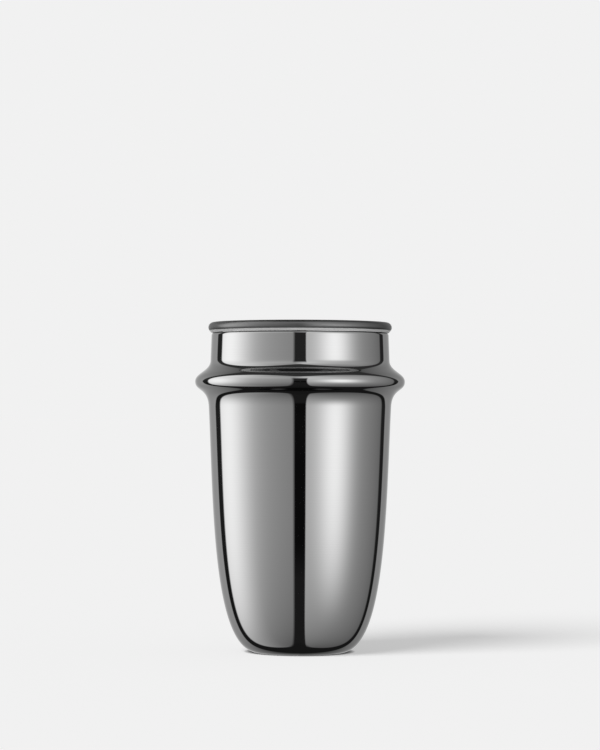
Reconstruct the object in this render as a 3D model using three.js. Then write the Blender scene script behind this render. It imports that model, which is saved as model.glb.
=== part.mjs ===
// Steel tumbler: a double-walled vacuum cup with a rolled lip, a straight neck and one swaged bead.
// Millimetres, +Z up. The origin is the centre of the foot ring, on the plane that the cup stands on.
import * as THREE from 'three';

// Outside form, from the rim down
const HEIGHT = 136.8;
const LIP_DIAMETER = 76.3;
const LIP_ROLL_DIAMETER = 4.25;
const LIP_OVERHANG = 1.33;
const NECK_FLARE = 0.43;
const BEAD_BELOW_RIM = 24.65;
const BEAD_STAND_OUT = 6.41;
const BEAD_UPPER_RISE = 8.7;
const BEAD_LOWER_DROP = 10.4;
const BELLY_SWELL = 0.72;
const BELLY_TAPER_DEGREES = 2.9;
const FOOT_DIAMETER = 37.9;
const FOOT_FLARE_DEGREES = 78;
const FOOT_LAND_WIDTH = 1.2;

// Lengths of the handles that draw the free curves: the body, then the two flanks of the bead
const BODY_FOOT_HANDLE = 17.7;
const BODY_BELLY_HANDLE = 37.3;
const FLANK_BELLY_HANDLE = 7.75;
const CREST_LOWER_HANDLE = 4.2;
const CREST_UPPER_HANDLE = 3.65;
const FLANK_NECK_HANDLE = 4.25;

// Sheet metal, fits and spaces
const SHELL_SHEET = 0.5;
const LINER_SHEET = 0.5;
const BASE_SHEET = 0.5;
const FOIL_THICKNESS = 0.1;
const INNER_BEND = 0.2;
const SEAT_CLEARANCE = 0.1;
const HEM_CLEARANCE = 0.3;
const VACUUM_GAP = 3.4;
const LINER_CORNER_RADIUS = 9;
const FOIL_BELOW_RIM = 19;

// Base, from the foot plane up
const COVER_RECESS = 0.9;
const COVER_SKIRT_HEIGHT = 1.5;
const COVER_DOME_HEIGHT = 0.3;
const BASE_SKIRT_HEIGHT = 1.8;
const COLLAR_ABOVE_BASE = 0.7;
const DIMPLE_HEIGHT = 1.2;
const DIMPLE_TOP_RADIUS = 2.6;
const DIMPLE_BLEND_WIDTH = 3;
const EVACUATION_HOLE_RADIUS = 0.8;
const PELLET_RADIUS = 2.2;
const PELLET_DROP = 0.8;
const PELLET_EDGE = 0.15;
const GETTER_SPACE = 1.3;
const GETTER_DIAMETER = 10;
const GETTER_THICKNESS = 1.8;
const GETTER_CHAMFER = 0.3;
const CLIP_STRAP = 0.4;
const CLIP_WIDTH = 4;
const CLIP_FOOT_LENGTH = 2.2;

// Facets round the axis, on the cup and on the small pieces of the base, and steps along the sections
const SEGMENTS = 48;
const SMALL_SEGMENTS = SEGMENTS / 2;
const BODY_STEPS = 12;
const FLANK_STEPS = 6;
const ROLL_STEPS = 3;
const LINER_WALL_STEPS = 7;
const LINER_CORNER_STEPS = 4;
const PRESS_STEPS = 4;
const BEND_STEPS = 2;

// Radii that follow from the sizes above
const lipRadius = LIP_DIAMETER / 2;
const rollRadius = LIP_ROLL_DIAMETER / 2;
const rollCentre = new THREE.Vector2(lipRadius - rollRadius, HEIGHT - rollRadius);
const rollHollow = rollRadius - LINER_SHEET;
const neckTopRadius = lipRadius - LIP_OVERHANG;
const neckRadius = neckTopRadius + NECK_FLARE;
const crestRadius = neckRadius + BEAD_STAND_OUT;
const bellyRadius = neckRadius + BELLY_SWELL;
const footRadius = FOOT_DIAMETER / 2;
const shellBend = INNER_BEND + SHELL_SHEET;
const collarRadius = footRadius - FOOT_LAND_WIDTH - shellBend;
const baseRadius = collarRadius - SEAT_CLEARANCE;
const baseBend = INNER_BEND + BASE_SHEET;

// Heights that follow from the sizes above
const crestHeight = HEIGHT - BEAD_BELOW_RIM;
const neckHeight = crestHeight + BEAD_UPPER_RISE;
const bellyHeight = crestHeight - BEAD_LOWER_DROP;
const coverTop = COVER_RECESS + COVER_SKIRT_HEIGHT;
const baseBottom = coverTop + SEAT_CLEARANCE;
const baseTop = baseBottom + BASE_SKIRT_HEIGHT;
const dimpleTop = baseTop + DIMPLE_HEIGHT;
const dimpleUnderside = dimpleTop - BASE_SHEET;
const clipBottom = dimpleTop + GETTER_SPACE;
const getterBottom = clipBottom + CLIP_STRAP + SEAT_CLEARANCE;
const getterTop = getterBottom + GETTER_THICKNESS;
const linerFloor = getterTop + SEAT_CLEARANCE;
const linerDepth = SHELL_SHEET + VACUUM_GAP;

// Directions, for the ends of the free curves
const UP = new THREE.Vector2(0, 1);
const INWARDS = new THREE.Vector2(-1, 0);
const OUTWARDS = new THREE.Vector2(1, 0);
const QUARTER = Math.PI / 2;

function at(radius, height) {
  return new THREE.Vector2(radius, height);
}

function line(from, to) {
  return { curve: new THREE.LineCurve(from, to), steps: 1 };
}

function arc(centre, radius, start, end, steps) {
  const clockwise = end < start;
  return { curve: new THREE.ArcCurve(centre.x, centre.y, radius, start, end, clockwise), steps };
}

function blend(from, fromDirection, fromHandle, to, toDirection, toHandle, steps) {
  const first = from.clone().addScaledVector(fromDirection, fromHandle);
  const second = to.clone().addScaledVector(toDirection, -toHandle);
  return { curve: new THREE.CubicBezierCurve(from, first, second, to), steps };
}

// A point of a curve, moved to the left of the way that the curve runs
function beside(curve, t, distance) {
  const point = curve.getPoint(t);
  const tangent = curve.getTangent(t);
  return at(point.x - tangent.y * distance, point.y + tangent.x * distance);
}

// Points along joined stretches, all moved to the left by the same distance
function follow(stretches, distance = 0) {
  const points = [beside(stretches[0].curve, 0, distance)];
  for (const { curve, steps } of stretches) {
    for (let step = 1; step <= steps; step += 1) {
      points.push(beside(curve, step / steps, distance));
    }
  }
  return points;
}

// The section of a sheet whose outside face runs along the stretches, with the metal on their left
function sheetSection(stretches, thickness) {
  return [...follow(stretches), ...follow(stretches, thickness).reverse()];
}

// A closed ring section turned round the axis
function turnRing(section, segments = SEGMENTS) {
  return turn([...section, section[0].clone()], segments);
}

// A section that starts and ends on the axis, turned round it
function turn(section, segments = SEGMENTS) {
  const geometry = new THREE.LatheGeometry(section, segments);
  geometry.rotateX(QUARTER);
  return geometry;
}

function steel(color, roughness) {
  return new THREE.MeshStandardMaterial({ color, roughness, metalness: 1 });
}

const tumbler = new THREE.Group();

function add(name, geometry, material) {
  const mesh = new THREE.Mesh(geometry, material);
  mesh.name = name;
  tumbler.add(mesh);
}

// Outside face of the shell: up from the foot by the free body curve, round the bead, then the neck
const flareAngle = THREE.MathUtils.degToRad(FOOT_FLARE_DEGREES);
const taperAngle = THREE.MathUtils.degToRad(BELLY_TAPER_DEGREES);
const flareDirection = at(Math.sin(flareAngle), Math.cos(flareAngle));
const taperDirection = at(Math.sin(taperAngle), Math.cos(taperAngle));
const belly = at(bellyRadius, bellyHeight);
const crest = at(crestRadius, crestHeight);
const neckFoot = at(neckRadius, neckHeight);
const lipOffset = neckTopRadius - rollCentre.x;
const neckTop = at(neckTopRadius, rollCentre.y - Math.sqrt(rollRadius ** 2 - lipOffset ** 2));
const neckDirection = neckTop.clone().sub(neckFoot).normalize();

const footCorner = arc(at(footRadius, shellBend), shellBend, -QUARTER, -flareAngle, BEND_STEPS);
const body = blend(
  footCorner.curve.getPoint(1), flareDirection, BODY_FOOT_HANDLE,
  belly, taperDirection, BODY_BELLY_HANDLE, BODY_STEPS,
);
const lowerFlank = blend(
  belly, taperDirection, FLANK_BELLY_HANDLE,
  crest, UP, CREST_LOWER_HANDLE, FLANK_STEPS,
);
const upperFlank = blend(
  crest, UP, CREST_UPPER_HANDLE,
  neckFoot, neckDirection, FLANK_NECK_HANDLE, FLANK_STEPS,
);

// The neck's edge runs on into the hollow of the lip roll, clear of its wall
const edgeRoom = rollHollow - HEM_CLEARANCE;
const edgeReach = Math.max(Math.abs(lipOffset), Math.abs(lipOffset - SHELL_SHEET));
const edgeRise = Math.sqrt(Math.max(0, edgeRoom ** 2 - edgeReach ** 2));
const edgeLength = (rollCentre.y + edgeRise - neckTop.y) / neckDirection.y;
const neckEdge = neckTop.clone().addScaledVector(neckDirection, edgeLength);

// Outer shell: one sheet from the collar inside the foot ring to the neck's edge
const collarTop = baseTop + COLLAR_ABOVE_BASE;
const shellPath = [
  line(at(collarRadius, collarTop), at(collarRadius, shellBend)),
  arc(at(collarRadius + shellBend, shellBend), shellBend, 2 * QUARTER, 3 * QUARTER, BEND_STEPS),
  line(at(collarRadius + shellBend, 0), at(footRadius, 0)),
  footCorner,
  body,
  lowerFlank,
  upperFlank,
  line(neckFoot, neckEdge),
];
add('outer_shell', turnRing(sheetSection(shellPath, SHELL_SHEET)), steel(0x959697, 0.07));

// Where a corner of the liner, rolled along its wall, comes to rest on the liner's floor
function cornerStart() {
  const reach = linerDepth + LINER_CORNER_RADIUS;
  const rest = linerFloor + LINER_CORNER_RADIUS;
  let low = 0;
  let high = 1;
  for (let halving = 0; halving < 40; halving += 1) {
    const middle = (low + high) / 2;
    if (beside(body.curve, middle, reach).y < rest) {
      low = middle;
    } else {
      high = middle;
    }
  }
  return high;
}

// Wall of the liner, from the floor's corner up along the shell, a given depth behind its outside face
const linerStart = cornerStart();

function linerWall(depth) {
  const points = [];
  for (let step = 0; step <= LINER_WALL_STEPS; step += 1) {
    const t = THREE.MathUtils.lerp(linerStart, 1, step / LINER_WALL_STEPS);
    points.push(beside(body.curve, t, depth));
  }
  return points;
}

// Inner liner: floor, corner and wall, then the lip rolled over the neck's edge down to a hem against it
const cornerCentre = beside(body.curve, linerStart, linerDepth + LINER_CORNER_RADIUS);
const cornerFoot = beside(body.curve, linerStart, linerDepth);
const cornerAngle = cornerFoot.clone().sub(cornerCentre).angle() - 4 * QUARTER;
const hemReach = lipOffset + SEAT_CLEARANCE;

function linerCorner(radius) {
  return follow([arc(cornerCentre, radius, -QUARTER, cornerAngle, LINER_CORNER_STEPS)]);
}

function lipRoll(radius) {
  const hem = -Math.acos(hemReach / radius);
  return follow([
    arc(rollCentre, radius, 2 * QUARTER, QUARTER, ROLL_STEPS),
    arc(rollCentre, radius, QUARTER, 0, ROLL_STEPS),
    arc(rollCentre, radius, 0, hem, BEND_STEPS),
  ]);
}

function linerFace(floor, depth, cornerRadius, roll) {
  return [
    at(0, floor),
    ...linerCorner(cornerRadius),
    ...linerWall(depth).slice(1),
    ...lipRoll(roll),
  ];
}

const vacuumFace = linerFace(linerFloor, linerDepth, LINER_CORNER_RADIUS, rollHollow);
const drinkFace = linerFace(
  linerFloor + LINER_SHEET, linerDepth + LINER_SHEET, LINER_CORNER_RADIUS - LINER_SHEET, rollRadius,
);
add('inner_liner', turn([...vacuumFace, ...drinkFace.reverse()]), steel(0x9b9c9d, 0.25));

// Radiant foil: one wrap of copper foil on the vacuum side of the liner's wall
const wallTop = at(rollCentre.x - rollHollow, rollCentre.y);
const foilTop = HEIGHT - FOIL_BELOW_RIM;

function foilFace(standOff) {
  const points = linerWall(linerDepth - standOff);
  const shoulder = beside(body.curve, 1, linerDepth);
  const share = (foilTop - shoulder.y) / (wallTop.y - shoulder.y);
  points.push(shoulder.lerp(wallTop, share).add(at(standOff, 0)));
  return points;
}

const foilOutside = foilFace(SEAT_CLEARANCE + FOIL_THICKNESS);
const foilInside = foilFace(SEAT_CLEARANCE);
const copper = new THREE.MeshStandardMaterial({ color: 0xb8734c, roughness: 0.3, metalness: 1 });
add('radiant_foil', turnRing([...foilOutside, ...foilInside.reverse()]), copper);

// Getter: a pressed pill under the liner's floor
const getterRadius = GETTER_DIAMETER / 2;
const getterSection = [
  at(0, getterBottom),
  at(getterRadius - GETTER_CHAMFER, getterBottom),
  at(getterRadius, getterBottom + GETTER_CHAMFER),
  at(getterRadius, getterTop - GETTER_CHAMFER),
  at(getterRadius - GETTER_CHAMFER, getterTop),
  at(0, getterTop),
];
const sintered = new THREE.MeshStandardMaterial({ color: 0x6b6c6e, roughness: 0.8, metalness: 0.6 });
add('getter', turn(getterSection, SMALL_SEGMENTS), sintered);

// Getter clip: a strap bent under the pill, with a foot on the liner's floor at each side
const legOutside = getterRadius + SEAT_CLEARANCE + CLIP_STRAP;
const clipBend = INNER_BEND + CLIP_STRAP;
const clipFootUnderside = linerFloor - SEAT_CLEARANCE - CLIP_STRAP;
const footInnerEnd = legOutside + INNER_BEND;
const footOuterEnd = footInnerEnd + CLIP_FOOT_LENGTH;
const footBendHeight = clipFootUnderside - INNER_BEND;
const bridgeBendHeight = clipBottom + clipBend;
const bridgeHalf = legOutside - clipBend;
const clipPath = [
  line(at(-footOuterEnd, clipFootUnderside), at(-footInnerEnd, clipFootUnderside)),
  arc(at(-footInnerEnd, footBendHeight), INNER_BEND, QUARTER, 0, BEND_STEPS),
  line(at(-legOutside, footBendHeight), at(-legOutside, bridgeBendHeight)),
  arc(at(-bridgeHalf, bridgeBendHeight), clipBend, 2 * QUARTER, 3 * QUARTER, BEND_STEPS),
  line(at(-bridgeHalf, clipBottom), at(bridgeHalf, clipBottom)),
  arc(at(bridgeHalf, bridgeBendHeight), clipBend, -QUARTER, 0, BEND_STEPS),
  line(at(legOutside, bridgeBendHeight), at(legOutside, footBendHeight)),
  arc(at(footInnerEnd, footBendHeight), INNER_BEND, 2 * QUARTER, QUARTER, BEND_STEPS),
  line(at(footInnerEnd, clipFootUnderside), at(footOuterEnd, clipFootUnderside)),
];
const clipShape = new THREE.Shape(sheetSection(clipPath, CLIP_STRAP));
const clipGeometry = new THREE.ExtrudeGeometry(clipShape, { depth: CLIP_WIDTH, bevelEnabled: false });
clipGeometry.rotateX(QUARTER);
clipGeometry.translate(0, CLIP_WIDTH / 2, 0);
add('getter_clip', clipGeometry, steel(0xa9abad, 0.35));

// Vacuum base: a pressed disc in the collar, with a dimple round the evacuation hole
const dimpleOuterRadius = DIMPLE_TOP_RADIUS + DIMPLE_BLEND_WIDTH;
const dimpleHandle = DIMPLE_BLEND_WIDTH / 2;
const basePath = [
  line(at(baseRadius, baseBottom), at(baseRadius, baseTop - baseBend)),
  arc(at(baseRadius - baseBend, baseTop - baseBend), baseBend, 0, QUARTER, BEND_STEPS),
  line(at(baseRadius - baseBend, baseTop), at(dimpleOuterRadius, baseTop)),
  blend(
    at(dimpleOuterRadius, baseTop), INWARDS, dimpleHandle,
    at(DIMPLE_TOP_RADIUS, dimpleTop), INWARDS, dimpleHandle, PRESS_STEPS,
  ),
  line(at(DIMPLE_TOP_RADIUS, dimpleTop), at(EVACUATION_HOLE_RADIUS, dimpleTop)),
];
add('vacuum_base', turnRing(sheetSection(basePath, BASE_SHEET), SMALL_SEGMENTS), steel(0xb3b5b6, 0.3));

// Seal pellet: a drop of solder glass below the evacuation hole, with a short stem in it
const pelletTop = dimpleUnderside - SEAT_CLEARANCE;
const pelletShoulder = pelletTop - PELLET_EDGE;
const stemRadius = EVACUATION_HOLE_RADIUS - SEAT_CLEARANCE;
const drop = new THREE.EllipseCurve(0, pelletShoulder, PELLET_RADIUS, PELLET_DROP, -QUARTER, 0);
const pelletSection = [
  at(0, pelletShoulder - PELLET_DROP),
  ...drop.getPoints(PRESS_STEPS).slice(1),
  at(PELLET_RADIUS, pelletTop),
  at(stemRadius, pelletTop),
  at(stemRadius, dimpleTop),
  at(0, dimpleTop),
];
const solderGlass = new THREE.MeshStandardMaterial({ color: 0x4a4641, roughness: 0.15, metalness: 0 });
add('seal_pellet', turn(pelletSection, SMALL_SEGMENTS), solderGlass);

// Base cover: a polished disc with a turned-up skirt, recessed in the foot ring
const coverFlat = baseRadius - baseBend;
const coverHandle = coverFlat / 2;
const coverPath = [
  blend(
    at(0, COVER_RECESS + COVER_DOME_HEIGHT), OUTWARDS, coverHandle,
    at(coverFlat, COVER_RECESS), OUTWARDS, coverHandle, PRESS_STEPS,
  ),
  arc(at(coverFlat, COVER_RECESS + baseBend), baseBend, -QUARTER, 0, BEND_STEPS),
  line(at(baseRadius, COVER_RECESS + baseBend), at(baseRadius, coverTop)),
];
add('base_cover', turn(sheetSection(coverPath, BASE_SHEET)), steel(0x9d9e9f, 0.12));

export default tumbler;
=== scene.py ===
# %% [markdown]
# # A mirror-polished steel tumbler
# The cup is a double-walled vacuum tumbler: an outer shell with a bead below its neck, a drinking liner
# whose lip is rolled over the shell's edge, and the small pieces that close and keep the vacuum. The CAD
# solids are loaded first as a fixed frame. They carry the sizes; this lesson makes the fine surfaces and
# the finishes, each one in the place that its solid has.

# %% Load the frame
import math

import bmesh
import bpy
from mathutils import Matrix, Vector


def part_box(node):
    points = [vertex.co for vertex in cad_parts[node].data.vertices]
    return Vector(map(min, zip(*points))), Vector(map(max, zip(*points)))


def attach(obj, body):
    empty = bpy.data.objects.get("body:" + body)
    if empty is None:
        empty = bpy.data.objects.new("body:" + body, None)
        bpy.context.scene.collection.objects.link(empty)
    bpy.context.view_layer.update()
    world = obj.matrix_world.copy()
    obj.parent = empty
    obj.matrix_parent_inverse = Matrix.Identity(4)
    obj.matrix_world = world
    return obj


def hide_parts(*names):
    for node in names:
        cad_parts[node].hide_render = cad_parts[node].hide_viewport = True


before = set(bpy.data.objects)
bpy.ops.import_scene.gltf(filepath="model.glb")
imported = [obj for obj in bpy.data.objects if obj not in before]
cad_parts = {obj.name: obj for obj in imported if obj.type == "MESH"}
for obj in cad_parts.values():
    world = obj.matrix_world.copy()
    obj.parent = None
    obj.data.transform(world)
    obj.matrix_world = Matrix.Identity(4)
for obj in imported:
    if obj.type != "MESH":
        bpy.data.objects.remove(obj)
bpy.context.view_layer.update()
MM = 0.001

# %% [markdown]
# ## The camera
# A long lens stands a little above the middle of the cup, below the rim, so nothing of the inside shows.
# The lens is worked out from plain numbers: how far away the eye is, how high it is, and how many pixels of
# the picture a millimetre covers at the axis of the cup. The camera tilts up by the angle that puts the
# horizon in its row, and rolls by a small angle, because no tripod stands quite level.

# %% Place the camera
IMAGE_HEIGHT = 750
SENSOR = 36.0
EYE_DISTANCE = 1120 * MM
EYE_HEIGHT = 100 * MM
PIXELS_PER_MM = 2.402
HORIZON_BELOW_CENTRE = 35.9
CAMERA_ROLL = math.radians(0.129)

focal_pixels = PIXELS_PER_MM * EYE_DISTANCE / MM
camera_data = bpy.data.cameras.new("photo_camera")
camera_data.sensor_width = SENSOR
camera_data.lens = focal_pixels / IMAGE_HEIGHT * SENSOR
camera = bpy.data.objects.new("photo_camera", camera_data)
camera.location = (0, -EYE_DISTANCE, EYE_HEIGHT)
tilt_up = Matrix.Rotation(math.pi / 2 + math.atan(HORIZON_BELOW_CENTRE / focal_pixels), 3, "X")
camera.rotation_euler = (tilt_up @ Matrix.Rotation(CAMERA_ROLL, 3, "Z")).to_euler()
scene = bpy.context.scene
scene.collection.objects.link(camera)
scene.camera = camera
scene.view_settings.view_transform = "Standard"
print("lens, mm:", round(camera_data.lens, 1))

# %% [markdown]
# ## The floor and the sun
# The floor is a wide matt sheet. Part of its tone is its own glow, shown to the camera only, and the rest
# comes from one soft sun at the front left. Where the cup hides the sun the glow is left, so the floor
# keeps the long soft shadow and is even everywhere else. An Ambient Occlusion node dims the glow beside the
# foot, where the cup closes the floor off, and so draws the thin contact shadow. The floor is hidden from
# reflections, because the tent below draws all that the steel mirrors.
#
# The helpers in this cell add a node and set its inputs in one call. Almost every node of the lesson is
# made with them.

# %% Lay the floor
FLOOR_TONE = 0.75
FLOOR_GLOW = 0.485
FLOOR_HALF = 30.0
CONTACT_REACH = 1.8 * MM


def grey(value):
    return (value, value, value, 1)


def set_inputs(node, inputs):
    """Sets inputs of a node by label or number, each to a constant or to another node's output."""
    for label, value in inputs.items():
        if isinstance(value, bpy.types.NodeSocket):
            node.id_data.links.new(value, node.inputs[label])
        else:
            node.inputs[label].default_value = value


def add_node(tree, kind, inputs=None, **options):
    """Adds a node with its options and inputs, and gives its outputs."""
    node = tree.nodes.new(kind)
    for name, value in options.items():
        setattr(node, name, value)
    set_inputs(node, inputs or {})
    return node.outputs


def next_node(kind, inputs, **options):
    """Adds a node to the tree that its inputs come from."""
    tree = next(value.id_data for value in inputs.values() if isinstance(value, bpy.types.NodeSocket))
    return add_node(tree, kind, inputs, **options)


def math_node(operation, *values):
    """The result of a Math node; each value is a number or another node's output."""
    return next_node("ShaderNodeMath", dict(enumerate(values)), operation=operation)[0]


def new_material(name):
    """A node material, its tree, and the tree's Principled shader."""
    material = bpy.data.materials.new(name)
    material.use_nodes = True
    return material, material.node_tree, material.node_tree.nodes["Principled BSDF"]


floor_mesh = bpy.data.meshes.new("studio_floor")
floor_corners = [(x * FLOOR_HALF, y * FLOOR_HALF, 0) for x, y in ((-1, -1), (1, -1), (1, 1), (-1, 1))]
floor_mesh.from_pydata(floor_corners, [], [(0, 1, 2, 3)])
floor = bpy.data.objects.new("studio_floor", floor_mesh)
floor_material, floor_tree, floor_shader = new_material("matt_pale_floor")
floor_ray = add_node(floor_tree, "ShaderNodeLightPath")["Is Camera Ray"]
floor_glow = math_node("MULTIPLY", floor_ray, FLOOR_GLOW)
openness = add_node(floor_tree, "ShaderNodeAmbientOcclusion", {"Distance": CONTACT_REACH})["AO"]
set_inputs(floor_shader, {
    "Base Color": grey(FLOOR_TONE),
    "Roughness": 1.0,
    "Specular IOR Level": 0.0,
    "Emission Color": grey(1),
    "Emission Strength": math_node("MULTIPLY", floor_glow, openness),
})
floor_material.cycles.emission_sampling = "NONE"
floor_mesh.materials.append(floor_material)
floor.visible_glossy = False
scene.collection.objects.link(floor)
print("floor, m across:", 2 * FLOOR_HALF)

# %% [markdown]
# A sun with a wide angle acts as one large cloth far away: the edge of the shadow grows softer with the
# distance from the cup. The sun is hidden from reflections, where it would be a hard dot on the steel. An
# area lamp could hang there instead, but its light would fall off across the floor.

# %% Hang the sun
SUN_STRENGTH = 1.95
SUN_SOFTNESS = math.radians(35.5)
SUN_HEIGHT = math.radians(43.4)
SUN_FROM = math.radians(-45)

sun_data = bpy.data.lights.new("soft_sun", "SUN")
sun_data.energy = SUN_STRENGTH
sun_data.angle = SUN_SOFTNESS
sun = bpy.data.objects.new("soft_sun", sun_data)
towards_sun = Vector((math.sin(SUN_FROM) * math.cos(SUN_HEIGHT),
                      -math.cos(SUN_FROM) * math.cos(SUN_HEIGHT),
                      math.sin(SUN_HEIGHT)))
sun.rotation_euler = towards_sun.to_track_quat("Z", "Y").to_euler()
sun.visible_glossy = False
scene.collection.objects.link(sun)
print("sun stands towards", [round(c, 2) for c in towards_sun])

# %% [markdown]
# ## The light tent
# A mirror shows its surroundings, so the room is part of the finish. Photographers stand a mirror finish in
# a tent of diffusing panels and shoot through a dark slit between them. The tent is far larger than the
# cup, so only the direction of a mirrored ray matters, and it is drawn in the world instead of being built
# from cards. A direction has a side angle, counted from the lens towards the right, and a height angle
# above the horizon, in degrees.

# %% Read the direction of a ray
world = bpy.data.worlds.new("light_tent")
world.use_nodes = True
world.cycles.sampling_method = "NONE"
scene.world = world
sky = world.node_tree
ray = next_node("ShaderNodeSeparateXYZ", {0: add_node(sky, "ShaderNodeTexCoord")["Object"]})
ray_right, ray_up = ray["X"], ray["Z"]
ray_front = math_node("MULTIPLY", ray["Y"], -1.0)
side_angle = math_node("DEGREES", math_node("ARCTAN2", ray_right, ray_front))
height_angle = math_node("DEGREES", math_node("ARCSINE", ray_up))
on_right = math_node("GREATER_THAN", ray_right, 0.0)
above = math_node("GREATER_THAN", ray_up, 0.0)
print("the world reads a direction with", len(sky.nodes), "nodes")

# %% [markdown]
# The cloth of the panels has an even glow, which is stronger behind the cup on the left and near the lens
# on the right, and grows towards the top, where the panels lean in. A lamp behind the cloth adds a bright
# place that dies away on all sides like a bell: a broad one far back on the left, and a narrow one at the
# front right.

# %% Draw the glow of the panels
EVEN_GLOW = [(-122, 1.1), (-60, 0.66), (-8, 0.47), (6, 0.83), (40, 0.71), (127, 0.29)]
EVEN_FADE = [(-72, 0.58), (-8, 1.4), (15, 1.6), (45, 2.05), (72, 1.35)]
FULL_TURN = 360


def ramp(angle, stops):
    """A colour ramp through stops of angle and grey value; the full turn of the angle is its length."""
    node = angle.id_data.nodes.new("ShaderNodeValToRGB")
    elements = node.color_ramp.elements
    while len(elements) < len(stops):
        elements.new(0.5)
    for element, (degrees, value) in zip(elements, stops):
        element.position = degrees / FULL_TURN + 0.5
        element.color = grey(value)
    set_inputs(node, {"Fac": math_node("MULTIPLY_ADD", angle, 1 / FULL_TURN, 0.5)})
    return node.outputs["Color"]


def lamp_spot(side, height, width, tallness, glow):
    """The bright place of a lamp: its middle and its spread in degrees, and its glow."""
    across = math_node("DIVIDE", math_node("SUBTRACT", side_angle, side), width)
    upright = math_node("DIVIDE", math_node("SUBTRACT", height_angle, height), tallness)
    away = math_node("MULTIPLY_ADD", across, across, math_node("MULTIPLY", upright, upright))
    bell = math_node("EXPONENT", math_node("MULTIPLY", away, -1.0))
    return math_node("MULTIPLY", bell, glow)


across_glow = ramp(side_angle, EVEN_GLOW)
upright_glow = ramp(height_angle, EVEN_FADE)
even_glow = math_node("MULTIPLY", across_glow, upright_glow)
left_lamp = lamp_spot(side=-101, height=2, width=33, tallness=30, glow=1.5)
right_lamp = lamp_spot(side=46, height=0, width=23, tallness=20, glow=1.9)
panel_glow = math_node("ADD", even_glow, math_node("ADD", left_lamp, right_lamp))
print("two lamps stand behind the panels")

# %% [markdown]
# The slit is what makes polished steel read as steel: a near-black stripe beside bright cloth. Each of its
# sides is a soft step in how far a ray points to the right. It ends below the top of the tent, where the
# panels meet.

# %% Cut the slit
SLIT_LEFT = (-0.163, -0.108)
SLIT_RIGHT = (0.142, 0.12)
SLIT_TOP = (50, 28)
SLIT_GLOW = [(-20, 0.03), (-13, 0.01), (-5, 0.01), (1, 0.05)]


def map_range(value, low, high, to_low=0.0, to_high=1.0):
    """A number carried over from one range to another, and held at its ends."""
    limits = {"From Min": low, "From Max": high, "To Min": to_low, "To Max": to_high}
    return next_node("ShaderNodeMapRange", {"Value": value, **limits})["Result"]


def mixed(factor, first, second):
    """A number between two, by a factor from 0 to 1."""
    return next_node("ShaderNodeMix", {"Factor": factor, "A": first, "B": second})["Result"]


left_side = map_range(ray_right, *SLIT_LEFT)
right_side = map_range(ray_right, *SLIT_RIGHT)
across_slit = math_node("MULTIPLY", left_side, right_side)
in_slit = math_node("MULTIPLY", across_slit, map_range(height_angle, *SLIT_TOP))
tent_glow = mixed(in_slit, panel_glow, ramp(height_angle, SLIT_GLOW))
print("slit from", SLIT_LEFT[1], "to", SLIT_RIGHT[1], "of a ray's length")

# %% [markdown]
# The panels have round corners. Their outline is a superellipse: a direction's share of the way to the
# panel's end and its share of the way to the brink, both raised to the same power, add up to one on the
# line. Near the middle it is cut straight. Past the outline come black edges and a dark roof. Where a size
# has two values, they are for left and right, or for below and above the horizon.

# %% Outline the panels
PANEL_ENDS = (120.3, 125.5)
PANEL_BRINKS = (78.0, 72.5)
PANEL_CORNERS = (4.0, 4.8)
PANEL_SOFT = 0.05
PANEL_MIDDLES = (0.922, 0.89)
PANEL_MIDDLE_RISE = 0.29
PANEL_MIDDLE_SOFT = 0.02
EDGE_GLOW = 0.025
ROOF_GLOW = 0.082
ROOF_START = (-0.2, 0.3)

panel_end = mixed(on_right, *PANEL_ENDS)
panel_brink = mixed(above, *PANEL_BRINKS)
corner_power = mixed(above, *PANEL_CORNERS)
side_share = math_node("DIVIDE", math_node("ABSOLUTE", side_angle), panel_end)
height_share = math_node("DIVIDE", math_node("ABSOLUTE", height_angle), panel_brink)
outline_place = math_node("ADD", math_node("POWER", side_share, corner_power),
                          math_node("POWER", height_share, corner_power))
in_outline = map_range(outline_place, 1 + PANEL_SOFT, 1 - PANEL_SOFT)
up_and_down = math_node("ABSOLUTE", ray_up)
left_and_right = math_node("ABSOLUTE", ray_right)
middle_height = mixed(above, *PANEL_MIDDLES)
middle_limit = math_node("MULTIPLY_ADD", left_and_right, PANEL_MIDDLE_RISE, middle_height)
past_middle = math_node("SUBTRACT", up_and_down, middle_limit)
before_middle = map_range(past_middle, PANEL_MIDDLE_SOFT, -PANEL_MIDDLE_SOFT)
on_panel = math_node("MULTIPLY", in_outline, before_middle)
edge_glow = map_range(ray_up, *ROOF_START, EDGE_GLOW, ROOF_GLOW)
inner_glow = mixed(on_panel, edge_glow, tent_glow)
print("panels reach", PANEL_ENDS, "degrees to the left and right")

# %% [markdown]
# Past the black edges is the pale room, which is what the steel shows along its outline. A ray meets it
# once it points far enough to the back. The limit bows forward for rays that point up or down, and the room
# fades there.

# %% Show the room behind the tent
ROOM_EDGES = (-0.699, -0.734)
ROOM_EDGE_SOFT = (-0.01, 0.015)
ROOM_EDGE_BOW = 0.21
ROOM_STEEP_BOW = 0.1
ROOM_GLOWS = (1.0, 0.81)
ROOM_FADE = 1.24
ROOM_DARKEST = 0.05

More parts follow.
